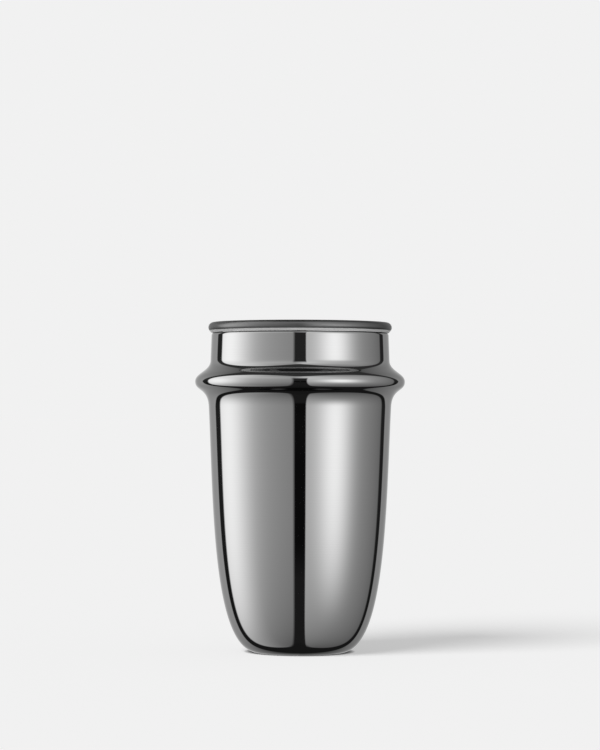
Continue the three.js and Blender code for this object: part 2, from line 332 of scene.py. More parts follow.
steepness = math_node("MULTIPLY", ray_up, ray_up)
steep_bow = math_node("MULTIPLY", math_node("MULTIPLY", steepness, steepness), ROOM_STEEP_BOW)
room_bow = math_node("MULTIPLY_ADD", up_and_down, ROOM_EDGE_BOW, steep_bow)
room_place = math_node("SUBTRACT", ray_front, room_bow)
past_edge = math_node("SUBTRACT", mixed(on_right, *ROOM_EDGES), room_place)
in_room = map_range(past_edge, *ROOM_EDGE_SOFT)
room_fade = math_node("MULTIPLY_ADD", steepness, -ROOM_FADE, 1.0)
room_share = math_node("MAXIMUM", room_fade, ROOM_DARKEST)
room_glow = math_node("MULTIPLY", mixed(on_right, *ROOM_GLOWS), room_share)
studio_glow = mixed(in_room, inner_glow, room_glow)
print("tent, edges and room drawn with", len(sky.nodes), "nodes")

# %% [markdown]
# Only rays that come straight from the steel see this studio. The camera sees a plain pale backdrop, and
# light that was already scattered by the floor meets a dim even sky, so the steel throws no bright patches
# on the floor.

# %% Choose what each ray sees
SKY_TONE = 0.88
SKY_LIGHT = 0.1

sky_ray = add_node(sky, "ShaderNodeLightPath")
scattered = math_node("GREATER_THAN", sky_ray["Diffuse Depth"], 0.5)
plain_sky = mixed(scattered, SKY_TONE, SKY_LIGHT)
mirrored = math_node("GREATER_THAN", sky_ray["Is Glossy Ray"], scattered)
set_inputs(sky.nodes["Background"], {"Color": mixed(mirrored, plain_sky, studio_glow)})
print("backdrop tone", SKY_TONE)

# %% [markdown]
# ## Drawing a section
# Every wall of the cup is round, so each piece is drawn once as a section: a row of points at a radius and
# a height, in millimetres. Straight runs, arcs and free curves follow one another, and a sheet's second
# face is the first one moved sideways by the sheet's thickness.

# %% Section helpers
UP = Vector((0, 1))
OUTWARDS = Vector((1, 0))
INWARDS = Vector((-1, 0))
QUARTER = math.pi / 2
SAME_POINT = 1e-4


def at(radius, height):
    return Vector((radius, height))


def to_left(way):
    """The direction square to a way, on its left."""
    return Vector((-way.y, way.x))


def line(start, end, steps=1):
    """A straight run: points with the direction of travel at each."""
    direction = (end - start).normalized()
    return [(start.lerp(end, i / steps), direction) for i in range(steps + 1)]


def arc(centre, radius, start, end, steps):
    """A round run from one angle to another, either way round."""
    sign = 1 if end > start else -1
    run = []
    for i in range(steps + 1):
        angle = start + (end - start) * i / steps
        spoke = Vector((math.cos(angle), math.sin(angle)))
        run.append((centre + radius * spoke, sign * to_left(spoke)))
    return run


def blend(start, start_direction, start_handle, end, end_direction, end_handle, steps, first=0.0, crowd=1.0):
    """A free curve between two directions; first skips its beginning, crowd packs the points towards it."""
    p0, p3 = start, end
    p1 = start + start_handle * start_direction
    p2 = end - end_handle * end_direction
    run = []
    for i in range(steps + 1):
        t = first + (1 - first) * (i / steps) ** crowd
        s = 1 - t
        point = s ** 3 * p0 + 3 * s * s * t * p1 + 3 * s * t * t * p2 + t ** 3 * p3
        direction = s * s * (p1 - p0) + 2 * s * t * (p2 - p1) + t * t * (p3 - p2)
        run.append((point, direction.normalized()))
    return run


def follow(runs, depth=0.0):
    """The runs' points in order, moved to the left of the way that they run."""
    points = []
    for run in runs:
        for point, direction in run:
            moved = point + depth * to_left(direction)
            if not points or (moved - points[-1]).length > SAME_POINT:
                points.append(moved)
    return points


def sheet_section(runs, thickness):
    """Outside face along the runs, then the inside face back again."""
    return follow(runs) + follow(runs, thickness)[::-1]


print("a quarter arc has", len(follow([arc(at(0, 0), 1, 0, QUARTER, steps=8)])), "points")

# %% [markdown]
# ## Turning a section with Geometry Nodes
# A lathe is a rule: take point j of the section and turn it by i steps round the axis. A Screw modifier
# could do the turn as well; a tree of nodes also sets the sharp edges and the material, and its sizes are
# named inputs.

# %% Name the inputs of the lathe
LATHE_INPUTS = {"Section": "Geometry", "Facets": "Int", "Merge Distance": "Float",
                "Sharp Angle": "Float", "Finish": "Material"}

lathe_tree = bpy.data.node_groups.new("turned_section", "GeometryNodeTree")
lathe_ids = {}
for label, kind in LATHE_INPUTS.items():
    socket = lathe_tree.interface.new_socket(label, in_out="INPUT", socket_type="NodeSocket" + kind)
    lathe_ids[label] = socket.identifier
lathe_tree.interface.new_socket("Turned", in_out="OUTPUT", socket_type="NodeSocketGeometry")
print("lathe inputs:", lathe_ids)

# %% [markdown]
# The tree makes a flat grid with one row of vertices for each step and one vertex in it for each section
# point. It looks up the section's own point by its index, and moves the grid's vertex to where that point
# stands after the turn.

# %% Turn the grid
lathe_in = add_node(lathe_tree, "NodeGroupInput")
section_in = {"Geometry": lathe_in["Section"]}
sizes = next_node("GeometryNodeAttributeDomainSize", section_in, component="MESH")
row_length = sizes["Point Count"]
row_count = math_node("ADD", lathe_in["Facets"], 1)
grid = next_node("GeometryNodeMeshGrid", {"Vertices X": row_count, "Vertices Y": row_length})
index = add_node(lathe_tree, "GeometryNodeInputIndex")[0]
step = math_node("FLOOR", math_node("DIVIDE", index, row_length))
row_start = math_node("MULTIPLY", step, row_length)
point_index = math_node("SUBTRACT", index, row_start)
own_place = add_node(lathe_tree, "GeometryNodeInputPosition")[0]
look_up = next_node("GeometryNodeSampleIndex", {**section_in, "Value": own_place, "Index": point_index},
                    data_type="FLOAT_VECTOR", domain="POINT")
whole_turns = math_node("MULTIPLY", step, math.tau)
turn_angle = math_node("DIVIDE", whole_turns, lathe_in["Facets"])
turned = next_node("ShaderNodeVectorRotate", {"Vector": look_up["Value"], "Angle": turn_angle},
                   rotation_type="Z_AXIS")
placed = next_node("GeometryNodeSetPosition", {"Geometry": grid["Mesh"], "Position": turned[0]})
print("the grid is turned with", len(lathe_tree.nodes), "nodes")

# %% [markdown]
# Merging by distance closes the seam of the turn and the poles on the axis. All faces are then shaded
# smooth, edges with a steep angle are made sharp again, and the finish is put on.

# %% Close and finish the surface
merged = next_node("GeometryNodeMergeByDistance",
                   {"Geometry": placed[0], "Distance": lathe_in["Merge Distance"]})
smooth = next_node("GeometryNodeSetShadeSmooth", {"Geometry": merged[0]}, domain="FACE")
edge_angle = add_node(lathe_tree, "GeometryNodeInputMeshEdgeAngle")["Unsigned Angle"]
sharp = math_node("GREATER_THAN", edge_angle, lathe_in["Sharp Angle"])
creased = next_node("GeometryNodeSetShadeSmooth",
                    {"Geometry": smooth[0], "Selection": sharp, "Shade Smooth": False}, domain="EDGE")
realized = next_node("GeometryNodeRealizeInstances", {"Geometry": creased[0]})
finished = next_node("GeometryNodeSetMaterial", {"Geometry": realized[0], "Material": lathe_in["Finish"]})
next_node("NodeGroupOutput", {"Turned": finished[0]})
print("lathe tree:", len(lathe_tree.nodes), "nodes")

# %% [markdown]
# The tree is used through one function. It keeps the modifier only as long as the turning takes: the
# finished piece is a plain mesh. A second function puts a piece in the place of its solid. It also reports
# whether the mesh is closed and how much material is in it; a volume below zero would mean that the faces
# look inwards.

# %% Turn a piece
FACETS = 192
SMALL_FACETS = 96
MERGE_DISTANCE = 0.002 * MM
SHARP_ANGLE = math.radians(50)


def turn_piece(name, section, finish, closed, facets=FACETS):
    """Turns a section into a plain mesh object with that finish; a closed section runs back to its start."""
    points = section + [section[0]] if closed else section
    outline = bpy.data.meshes.new(name + "_section")
    outline.from_pydata([(p.x * MM, 0, p.y * MM) for p in points], [], [])
    maker = bpy.data.objects.new(name + "_maker", outline)
    scene.collection.objects.link(maker)
    lathe = maker.modifiers.new("lathe", "NODES")
    lathe.node_group = lathe_tree
    lathe[lathe_ids["Facets"]] = facets
    lathe[lathe_ids["Merge Distance"]] = MERGE_DISTANCE
    lathe[lathe_ids["Sharp Angle"]] = SHARP_ANGLE
    lathe[lathe_ids["Finish"]] = finish
    made = maker.evaluated_get(bpy.context.evaluated_depsgraph_get())
    mesh = bpy.data.meshes.new_from_object(made)
    mesh.name = name
    bpy.data.objects.remove(maker)
    bpy.data.meshes.remove(outline)
    piece = bpy.data.objects.new(name, mesh)
    scene.collection.objects.link(piece)
    return piece


def set_piece(piece, node):
    """Lets a piece stand in for its solid, on the root body."""
    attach(piece, "root")
    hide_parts(node)
    check = bmesh.new()
    check.from_mesh(piece.data)
    open_edges = sum(1 for edge in check.edges if len(edge.link_faces) != 2)
    volume = check.calc_volume(signed=True) / MM ** 3
    print(f"{piece.name}: {len(check.faces)} faces, {open_edges} open edges, {volume:.0f} mm3 of material")
    check.free()


print("a turn has", FACETS, "facets, or", SMALL_FACETS, "on a small piece")

# %% [markdown]
# ## Shared effects of the finishes
# Polished and spun metal is never quite even. Three effects are built once as shader groups and placed in
# each metal with values of their own: fine lines that run round the axis, as a polishing wheel leaves them;
# thin stray scratches; and the soft clouds of a wiped surface. Each puts out a mask from 0 to 1. Pictures
# of wear could do the same, but noise needs no unwrapping and no file.
#
# The lines are a noise along one measure, the radius plus the height of a point, so each line is a ring
# round the axis. A slow second noise lets them wander a little.

# %% Turned lines
LINES_PER_METRE = 4000.0
LINES_WANDER = (-0.4 * MM, 0.4 * MM)
NOISE_SPAN = (0.3, 0.7)


def effect_group(name, label, value):
    """A shader group with one float input and a Mask output: the group, its input and its output node."""
    group = bpy.data.node_groups.new(name, "ShaderNodeTree")
    group.interface.new_socket(label, in_out="INPUT", socket_type="NodeSocketFloat").default_value = value
    group.interface.new_socket("Mask", in_out="OUTPUT", socket_type="NodeSocketFloat")
    return group, add_node(group, "NodeGroupInput")[0], group.nodes.new("NodeGroupOutput")


def object_place(tree):
    return add_node(tree, "ShaderNodeTexCoord")["Object"]


def radius_and_height(tree):
    """How far a point of the surface is from the axis, and how high it is, in metres."""
    place = next_node("ShaderNodeSeparateXYZ", {0: object_place(tree)})
    squares = [math_node("MULTIPLY", place[axis], place[axis]) for axis in ("X", "Y")]
    return math_node("SQRT", math_node("ADD", *squares)), place["Z"]


def noise(place, scale, detail, roughness=0.5, dimensions="3D"):
    """A noise texture at a place; its value stays near the middle and seldom leaves NOISE_SPAN."""
    place_label = "W" if dimensions == "1D" else "Vector"
    inputs = {place_label: place, "Scale": scale, "Detail": detail, "Roughness": roughness}
    return next_node("ShaderNodeTexNoise", inputs, noise_dimensions=dimensions)["Fac"]


lines_group, lines_in, lines_out = effect_group("turned_lines", "Lines per Metre", LINES_PER_METRE)
travel = math_node("ADD", *radius_and_height(lines_group))
slow_noise = noise(object_place(lines_group), scale=30.0, detail=2.0)
wander = map_range(slow_noise, *NOISE_SPAN, *LINES_WANDER)
line_place = math_node("ADD", travel, wander)
fine_lines = noise(line_place, lines_in, detail=3.0, roughness=0.7, dimensions="1D")
set_inputs(lines_out, {"Mask": map_range(fine_lines, *NOISE_SPAN)})
print("turned lines:", len(lines_group.nodes), "nodes")

# %% [markdown]
# A scratch is a noise that is squeezed hard along one direction, with only its peaks kept. Three such
# layers, each turned and shifted, cross one another. A cloud is a plain noise with only its upper half
# kept.

# %% Stray scratches and wiped clouds
SCRATCH_SCALE = 120.0
SCRATCH_LAYERS = ((24, 0.0), (-51, 3.7), (78, 8.1))
SCRATCH_LEAN = math.radians(20)
SCRATCH_SQUEEZE = (1.0, 1.0, 26.0)
SCRATCH_PEAKS = (0.74, 0.8)
CLOUD_SCALE = 35.0
CLOUD_SPAN = (0.42, 0.72)

scratch_group, scratch_in, scratch_out = effect_group("stray_scratches", "Scale", SCRATCH_SCALE)
scratches = None
for turn_degrees, shift in SCRATCH_LAYERS:
    leaning = next_node("ShaderNodeMapping", {
        "Vector": object_place(scratch_group),
        "Rotation": (math.radians(turn_degrees), SCRATCH_LEAN, 0),
        "Location": (shift, shift, 0),
        "Scale": SCRATCH_SQUEEZE,
    })
    hair = noise(leaning[0], scratch_in, detail=1.0, roughness=0.4)
    layer = map_range(hair, *SCRATCH_PEAKS)
    scratches = layer if scratches is None else math_node("MAXIMUM", scratches, layer)
set_inputs(scratch_out, {"Mask": scratches})

cloud_group, cloud_in, cloud_out = effect_group("wiped_clouds", "Scale", CLOUD_SCALE)
cloud_noise = noise(object_place(cloud_group), cloud_in, detail=4.0, roughness=0.55)
set_inputs(cloud_out, {"Mask": map_range(cloud_noise, *CLOUD_SPAN)})
print("shared effects:", [group.name for group in (lines_group, scratch_group, cloud_group)])

# %% [markdown]
# ## The metals
# A metal has no colour of its own light, only what it mirrors, so the base colour is how much it gives back
# and the roughness is how sharp the picture in it is. The steel is a smoky mirror: it gives back about a
# third. A metal would grow brighter towards a glancing angle; Specular Tint takes some of that back, which
# keeps the rims of the cup as grey as its front.

# %% Mix a turned metal
GLANCE = 0.6
WEAR_BY_LINES = 0.4
WEAR_BY_CLOUDS = 0.35
WEAR_BY_SCRATCHES = 0.25
LINE_DEPTH = 0.02 * MM
MIRROR_TONES = (0.294, 0.306)


def effect(tree, group, value):
    """Places a shared effect in a material, with its one value set, and gives its mask."""
    return add_node(tree, "ShaderNodeGroup", {0: value}, node_tree=group)["Mask"]


def tone(mask, dark, light):
    """A colour between two, by a mask; each is a colour or another node's output."""
    node = mask.id_data.nodes.new("ShaderNodeMix")
    node.data_type = "RGBA"
    colours = [number for number, socket in enumerate(node.inputs) if socket.type == "RGBA"]
    set_inputs(node, {"Factor": mask, colours[0]: dark, colours[1]: light})
    return next(socket for socket in node.outputs if socket.type == "RGBA")


def bump(height, depth, strength):
    """Relief from a height of 0 to 1, of a depth in metres."""
    inputs = {"Height": height, "Distance": depth, "Strength": strength}
    return next_node("ShaderNodeBump", inputs)["Normal"]


def worn_metal(name, dark, light, polish, lines, relief):
    """A turned metal: lines change its colour, lines and scratches its relief, all effects its roughness."""
    material, tree, shader = new_material(name)
    line_mask = effect(tree, lines_group, lines)
    cloud_mask = effect(tree, cloud_group, CLOUD_SCALE)
    scratch_mask = effect(tree, scratch_group, SCRATCH_SCALE)
    line_wear = math_node("MULTIPLY", line_mask, WEAR_BY_LINES)
    wiped_wear = math_node("MULTIPLY_ADD", cloud_mask, WEAR_BY_CLOUDS, line_wear)
    wear = math_node("MULTIPLY_ADD", scratch_mask, WEAR_BY_SCRATCHES, wiped_wear)
    height = math_node("ADD", line_mask, scratch_mask)
    set_inputs(shader, {
        "Base Color": tone(line_mask, dark, light),
        "Roughness": map_range(wear, 0.0, 1.0, *polish),
        "Normal": bump(height, LINE_DEPTH, relief),
        "Metallic": 1.0,
        "Specular Tint": grey(GLANCE),
    })
    return material


mirror_dark, mirror_light = (grey(value) for value in MIRROR_TONES)
mirror_steel = worn_metal("mirror_steel", mirror_dark, mirror_light,
                          polish=(0.015, 0.06), lines=3500.0, relief=0.002)
print("mirror steel gives back about", round(sum(MIRROR_TONES) / 2, 2))

# %% [markdown]
# ## The outer shell
# One drawn sheet makes everything that the eye sees first: the foot ring with its collar turned up inside,
# the body that swells out of the foot, the bead that is pressed out below the neck, and the neck whose edge
# runs on into the rolled lip. The widest point and the heights come from the solid; the rest are the sizes
# of the drawing.

# %% Place the main points of the shell
SHELL_SHEET = 0.5
INNER_BEND = 0.2
LIP_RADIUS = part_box("inner_liner")[1].x / MM
RIM_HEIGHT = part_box("inner_liner")[1].z / MM
ROLL_RADIUS = 2.125
LIP_OVERHANG = 1.33
NECK_FLARE = 0.43
BEAD_BELOW_RIM = 24.65
BEAD_UPPER_RISE = 8.7
BEAD_LOWER_DROP = 10.4
BELLY_SWELL = 0.72
BELLY_TAPER = math.radians(2.9)
FOOT_RADIUS = 18.95
FOOT_LAND = 1.2
FOOT_FLARE = math.radians(78)

crest = at(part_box("outer_shell")[1].x / MM, RIM_HEIGHT - BEAD_BELOW_RIM)
roll_centre = at(LIP_RADIUS - ROLL_RADIUS, RIM_HEIGHT - ROLL_RADIUS)
lip_offset = ROLL_RADIUS - LIP_OVERHANG
neck_top = at(LIP_RADIUS - LIP_OVERHANG, roll_centre.y - math.sqrt(ROLL_RADIUS ** 2 - lip_offset ** 2))
neck_foot = at(neck_top.x + NECK_FLARE, crest.y + BEAD_UPPER_RISE)
belly = at(neck_foot.x + BELLY_SWELL, crest.y - BEAD_LOWER_DROP)
neck_way = (neck_top - neck_foot).normalized()
flare_way = at(math.sin(FOOT_FLARE), math.cos(FOOT_FLARE))
taper_way = at(math.sin(BELLY_TAPER), math.cos(BELLY_TAPER))
shell_bend = INNER_BEND + SHELL_SHEET
collar_radius = FOOT_RADIUS - FOOT_LAND - shell_bend
foot_corner = arc(at(FOOT_RADIUS, shell_bend), shell_bend, -QUARTER, -FOOT_FLARE, steps=3)
print("radius of neck, crest and belly, mm:", [round(p.x, 2) for p in (neck_top, crest, belly)])

# %% [markdown]
# Just under the lip the neck has a rounded edge and a small groove, where the hem was pressed against it.
# The groove is shallower than the sheet is thick, so it is cut into the outside only. Relief in the
# material could hint at it, but only a real groove turns far enough to mirror the dark.

# %% Cut the groove under the lip
SEAM_BELOW_LIP = 0.32
SEAM_HEIGHT = 0.32
SEAM_DEPTH = 0.44
SEAM_SLANT = 0.6
SEAM_ROUND = 1.6
SEAM_TURN = math.radians(30)


def on_neck(height):
    """The point of the neck's outside at a height."""
    return neck_foot + neck_way * ((height - neck_foot.y) / neck_way.y)


neck_edge = on_neck(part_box("outer_shell")[1].z / MM)
seam_top = on_neck(neck_top.y - SEAM_BELOW_LIP)
seam_bottom = seam_top + SEAM_DEPTH * INWARDS - SEAM_SLANT * SEAM_HEIGHT * UP
neck_lean = math.atan2(-neck_way.x, neck_way.y)
seam_rise = SEAM_ROUND * (math.sin(neck_lean + SEAM_TURN) - math.sin(neck_lean))
seam_foot = on_neck(seam_top.y - SEAM_HEIGHT - seam_rise)
seam_centre = seam_foot - SEAM_ROUND * at(math.cos(neck_lean), math.sin(neck_lean))
seam_curve = arc(seam_centre, SEAM_ROUND, neck_lean, neck_lean + SEAM_TURN, steps=10)
grooved_neck = [
    line(neck_foot, seam_foot, steps=6),
    seam_curve,
    line(seam_curve[-1][0], seam_bottom),
    line(seam_bottom, seam_top),
    line(seam_top, neck_edge),
]
print("groove and round edge from", round(seam_top.y, 2), "down to", round(seam_foot.y, 2))

# %% [markdown]
# The body is one free curve from the foot to the belly, and the bead is two more. Arcs could be joined
# instead, but each joint would show as a kink in the mirror image. The body turns fastest beside the foot,
# so its points are crowded there, because a mirror shows every corner.

# %% Turn the shell
COLLAR_TOP = 5.0
BODY_HANDLES = (17.7, 37.3)
BEAD_LOWER_HANDLES = (7.75, 4.2)
BEAD_UPPER_HANDLES = (3.65, 4.25)


def body_curve(steps, first=0.0, crowd=1.0):
    """The free curve of the body, from the foot to the belly."""
    start, end = foot_corner[-1][0], belly
    return blend(start, flare_way, BODY_HANDLES[0], end, taper_way, BODY_HANDLES[1], steps, first, crowd)


below_neck = [
    line(at(collar_radius, COLLAR_TOP), at(collar_radius, shell_bend)),
    arc(at(collar_radius + shell_bend, shell_bend), shell_bend, 2 * QUARTER, 3 * QUARTER, steps=8),
    line(at(collar_radius + shell_bend, 0), at(FOOT_RADIUS, 0)),
    foot_corner,
    body_curve(steps=72, crowd=1.6),
    blend(belly, taper_way, BEAD_LOWER_HANDLES[0], crest, UP, BEAD_LOWER_HANDLES[1], steps=32),
    blend(crest, UP, BEAD_UPPER_HANDLES[0], neck_foot, neck_way, BEAD_UPPER_HANDLES[1], steps=32),
]
outside_face = follow(below_neck + grooved_neck)
inside_face = follow(below_neck + [line(neck_foot, neck_edge, steps=6)], SHELL_SHEET)
shell = turn_piece("shell_of_polished_steel", outside_face + inside_face[::-1], mirror_steel, closed=True)
set_piece(shell, "outer_shell")

# %% [markdown]
# ## The drinking liner and its rolled lip
# The liner is a deep cup behind the shell, and its lip is rolled outwards over the shell's edge until it
# meets the neck. One material changes over its height. The inside is spun, with plain rings. The lip is
# buffed to a satin that only shows soft lights, and a painted shade darkens its colour in the crease above
# the hem. The hem itself, the flat that was pressed against the neck, is bare and lighter than the rest.

# %% Mix the liner's steel
HEM_TURN = math.radians(36)
HEM_TOP = (roll_centre.y - ROLL_RADIUS * math.sin(HEM_TURN)) * MM
HEM_SOFT = 0.05 * MM
# how far above the hem the painted crease shade begins, and where it is at its darkest
CREASE_SHADE_TOP = 0.9 * MM
CREASE_SHADE_FULL = 0.4 * MM
LIP_FOOT = 131.5 * MM
LIP_SOFT = 1.0 * MM
LIP_OUTSIDE = (35.8 * MM, 36.2 * MM)
SPUN_POLISH = (0.26, 0.38)
LIP_POLISH = (0.34, 0.38)
HEM_POLISH = 0.55

liner_steel, liner_tree, liner_shader = new_material("liner_steel")
liner_radius, liner_height = radius_and_height(liner_tree)
on_lip = map_range(liner_height, LIP_FOOT, LIP_FOOT + LIP_SOFT)
outside = map_range(liner_radius, *LIP_OUTSIDE)
below_roll = map_range(liner_height, HEM_TOP + HEM_SOFT, HEM_TOP - HEM_SOFT)
# painted shade: the lower turn of the roll, just above the hem, is darkened in its colour as if the crease
# lay in shade
painted_crease_shade = map_range(liner_height, HEM_TOP + CREASE_SHADE_TOP, HEM_TOP + CREASE_SHADE_FULL)
on_hem = math_node("MULTIPLY", math_node("MULTIPLY", outside, below_roll), on_lip)
liner_lines = effect(liner_tree, lines_group, 2600.0)
liner_clouds = effect(liner_tree, cloud_group, 50.0)
spun_tone = tone(liner_lines, grey(0.36), grey(0.44))
buffed_tone = tone(liner_clouds, grey(0.12), grey(0.135))
# the buffed lip's tone with the painted crease shade mixed in
lip_tone_with_painted_shade = tone(painted_crease_shade, buffed_tone, grey(0.055))
hem_tone = tone(liner_clouds, grey(0.4), grey(0.45))
rolled_tone = tone(on_lip, spun_tone, lip_tone_with_painted_shade)
spun_polish = map_range(liner_lines, 0.0, 1.0, *SPUN_POLISH)
lip_polish = map_range(liner_clouds, 0.0, 1.0, *LIP_POLISH)
liner_polish = mixed(on_lip, spun_polish, lip_polish)
set_inputs(liner_shader, {
    "Base Color": tone(on_hem, rolled_tone, hem_tone),
    "Roughness": mixed(on_hem, liner_polish, HEM_POLISH),
    "Normal": bump(liner_lines, LINE_DEPTH, strength=0.02),
    "Metallic": 1.0,
    "Specular Tint": grey(GLANCE),
})
print("liner steel mixed, hem below", round(HEM_TOP / MM, 2), "mm")

# %% [markdown]
# The liner's outside is the shell's own curve moved inwards by the vacuum gap. At the bottom a round corner
# leads from the wall to the flat floor. It has to touch both, so its place is found by halving: the corner
# is tried further up or down the wall until it rests on the floor.

# %% Find the corner of the liner
LINER_SHEET = 0.5
VACUUM_GAP = 3.4
LINER_CORNER = 9.0
HALVINGS = 40
liner_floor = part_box("inner_liner")[0].z / MM
liner_depth = SHELL_SHEET + VACUUM_GAP


def liner_start():
    """Share of the body curve where the liner's corner, rolled along the wall, rests on the floor."""
    low, high = 0.0, 1.0
    for _ in range(HALVINGS):
        middle = (low + high) / 2
        point, way = body_curve(1, middle)[0]
        centre = point + (liner_depth + LINER_CORNER) * to_left(way)
        if centre.y < liner_floor + LINER_CORNER:
            low = middle
        else:
            high = middle
    return high


corner_share = liner_start()
corner_point, corner_way = body_curve(1, corner_share)[0]
corner_normal = to_left(corner_way)
corner_centre = corner_point + (liner_depth + LINER_CORNER) * corner_normal
corner_angle = math.atan2(-corner_normal.y, -corner_normal.x)
print("the wall begins at", round(corner_share, 3), "of the body curve")

# %% [markdown]
# Each face of the liner is one row of points, from the axis along the floor, up the wall, round the lip and
# down the hem. The two faces have the same number of points, so the sheet is closed where they meet. A
# Solidify modifier could add the second face; drawing both lets the hem end in a flat of its own.

# %% Turn the liner
HEM_DROP = 0.22
HEM_EDGE = 0.7
SEAT = 0.1


def liner_face(floor_height, depth, corner_radius, roll_radius, hem_end):
    """One face of the liner; the sizes are the ones of that face."""
    flat_steps, straight_steps, hem_steps = 8, 6, 8
    wall = follow([body_curve(44, corner_share)], depth)
    rolled = follow([arc(roll_centre, roll_radius, 2 * QUARTER, -HEM_TURN, steps=44)])
    hem = [rolled[-1].lerp(hem_end, i / hem_steps) for i in range(1, hem_steps + 1)]
    straight = [wall[-1].lerp(rolled[0], i / straight_steps) for i in range(1, straight_steps)]
    corner = follow([arc(corner_centre, corner_radius, -QUARTER, corner_angle, steps=14)])
    flat = [at(0, floor_height).lerp(corner[0], i / flat_steps) for i in range(flat_steps)]
    return flat + corner + wall[1:] + straight + rolled + hem


hem_end = neck_top + SEAT * OUTWARDS - HEM_DROP * UP
vacuum_face = liner_face(liner_floor, liner_depth, LINER_CORNER,
                         ROLL_RADIUS - LINER_SHEET, hem_end + HEM_EDGE * UP)
drink_face = liner_face(liner_floor + LINER_SHEET, liner_depth + LINER_SHEET, LINER_CORNER - LINER_SHEET,
                        ROLL_RADIUS, hem_end)
liner = turn_piece("liner_with_rolled_lip", vacuum_face + drink_face[::-1], liner_steel, closed=False)
set_piece(liner, "inner_liner")

# %% [markdown]
# The hem faces the table, so it would mirror only the dark below the tent. A photographer lays a white
# collar of card round the cup, just above the bead, to fill such an edge with light. Here it glows upwards
# only, as if through a honeycomb grid, and shows in reflections only, so the underside of the lip sees it
# and the neck beside it doesn't.

# %% Lay a fill card under the lip
CARD_INSIDE = 38.4
CARD_OUTSIDE = 62.0
CARD_HEIGHT = 121.5
CARD_GLOW = 1.7
CARD_GRID = (0.36, 0.3)

white_card, card_tree, card_shader = new_material("white_card")
card_back = add_node(card_tree, "ShaderNodeNewGeometry")["Backfacing"]
card_slant = add_node(card_tree, "ShaderNodeLayerWeight")["Facing"]
card_steep = map_range(card_slant, *CARD_GRID)
set_inputs(card_shader, {
    "Base Color": grey(0),
    "Specular IOR Level": 0.0,
    "Emission Color": grey(1),
    "Emission Strength": CARD_GLOW,
    "Alpha": math_node("SUBTRACT", card_steep, card_back),
})
white_card.cycles.emission_sampling = "NONE"
card_section = [at(CARD_OUTSIDE, CARD_HEIGHT), at(CARD_INSIDE, CARD_HEIGHT)]
card = turn_piece("lip_fill_card", card_section, white_card, closed=False)
card.visible_camera = False
card.visible_diffuse = False
card.visible_shadow = False
print("the card faces", [round(c) for c in card.data.polygons[0].normal])

# %% [markdown]
# ## The radiant foil
# A wrap of copper foil on the vacuum side of the liner throws heat back into the drink. Foil is thin and
# never lies flat. Broad dents and sharp creases are drawn as relief, and the creases are a little brighter
# where they rubbed. The creases are the borders of Voronoi cells; a noise bends the place first, so no
# crease is straight.

# %% Mix the copper
CREASE_SCALE = 90.0
CREASE_WIDTH = 0.06
CREASE_HEIGHT = 0.5
BEND_SCALE = 60.0
BEND_REACH = 8 * MM
FOIL_POLISH = (0.2, 0.34)

copper, copper_tree, copper_shader = new_material("copper_foil")
foil_place = object_place(copper_tree)
bends = next_node("ShaderNodeTexNoise", {"Vector": foil_place, "Scale": BEND_SCALE})["Color"]
reach = (BEND_REACH, BEND_REACH, BEND_REACH)
bent_place = next_node("ShaderNodeVectorMath", {0: bends, 1: reach, 2: foil_place},
                       operation="MULTIPLY_ADD")[0]
creases = next_node("ShaderNodeTexVoronoi", {"Vector": bent_place, "Scale": CREASE_SCALE},
                    feature="DISTANCE_TO_EDGE")["Distance"]
crease_mask = map_range(creases, CREASE_WIDTH, 0.0)
dents = noise(foil_place, scale=45.0, detail=3.0)
foil_tone = tone(dents, (0.66, 0.38, 0.24, 1), (0.76, 0.47, 0.31, 1))
foil_height = math_node("MULTIPLY_ADD", crease_mask, CREASE_HEIGHT, dents)
set_inputs(copper_shader, {
    "Base Color": tone(crease_mask, foil_tone, (0.84, 0.56, 0.4, 1)),
    "Roughness": map_range(dents, *NOISE_SPAN, *FOIL_POLISH),
    "Normal": bump(foil_height, depth=0.4 * MM, strength=0.35),
    "Metallic": 1.0,
})
print("copper mixed with", len(copper_tree.nodes), "nodes")

# %% [markdown]
# The foil lies on the liner with a small seat between them. It starts above the liner's corner and ends
# below the lip, so its wall is the liner's wall again, moved outwards. A cloth could be shrunk on to the
# liner, but a turned sheet keeps an even thickness.

# %% Wrap the foil
FOIL_SHEET = 0.1
foil_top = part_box("radiant_foil")[1].z / MM


def foil_face(stand_off):
    """One face of the foil, at a distance from the liner's outside."""
    wall = follow([body_curve(40, corner_share)], liner_depth - stand_off)
    shoulder = follow([body_curve(1, 1.0)], liner_depth)[0]
    wall_top = at(roll_centre.x - ROLL_RADIUS + LINER_SHEET, roll_centre.y)
    rise = (foil_top - shoulder.y) / (wall_top.y - shoulder.y)
    return wall + [shoulder.lerp(wall_top, rise) + stand_off * OUTWARDS]


foil_section = foil_face(SEAT + FOIL_SHEET) + foil_face(SEAT)[::-1]
foil = turn_piece("foil_wrap", foil_section, copper, closed=True)
set_piece(foil, "radiant_foil")

# %% [markdown]
# ## The getter and its clip
# The getter is a small pill of pressed metal powder under the liner's floor; it soaks up the last gas in
# the vacuum. Its powder is drawn with two noises: fine grains, and larger patches of a middle grey over
# them.

# %% Mix the powder
GRAIN_POLISH = (0.65, 0.9)
PATCH_SPAN = (0.5, 0.8)

powder, powder_tree, powder_shader = new_material("pressed_powder")
grains = noise(object_place(powder_tree), scale=2600.0, detail=3.0, roughness=0.65)
patches = noise(object_place(powder_tree), scale=260.0, detail=2.0)
grain_mask = map_range(grains, *NOISE_SPAN)
patch_mask = map_range(patches, *PATCH_SPAN)
grain_tone = tone(grain_mask, grey(0.17), (0.36, 0.36, 0.37, 1))
set_inputs(powder_shader, {
    "Base Color": tone(patch_mask, grain_tone, grey(0.3)),
    "Roughness": map_range(grains, *NOISE_SPAN, *GRAIN_POLISH),
    "Normal": bump(grains, depth=0.05 * MM, strength=0.6),
    "Metallic": 0.6,
})
print("powder mixed with", len(powder_tree.nodes), "nodes")

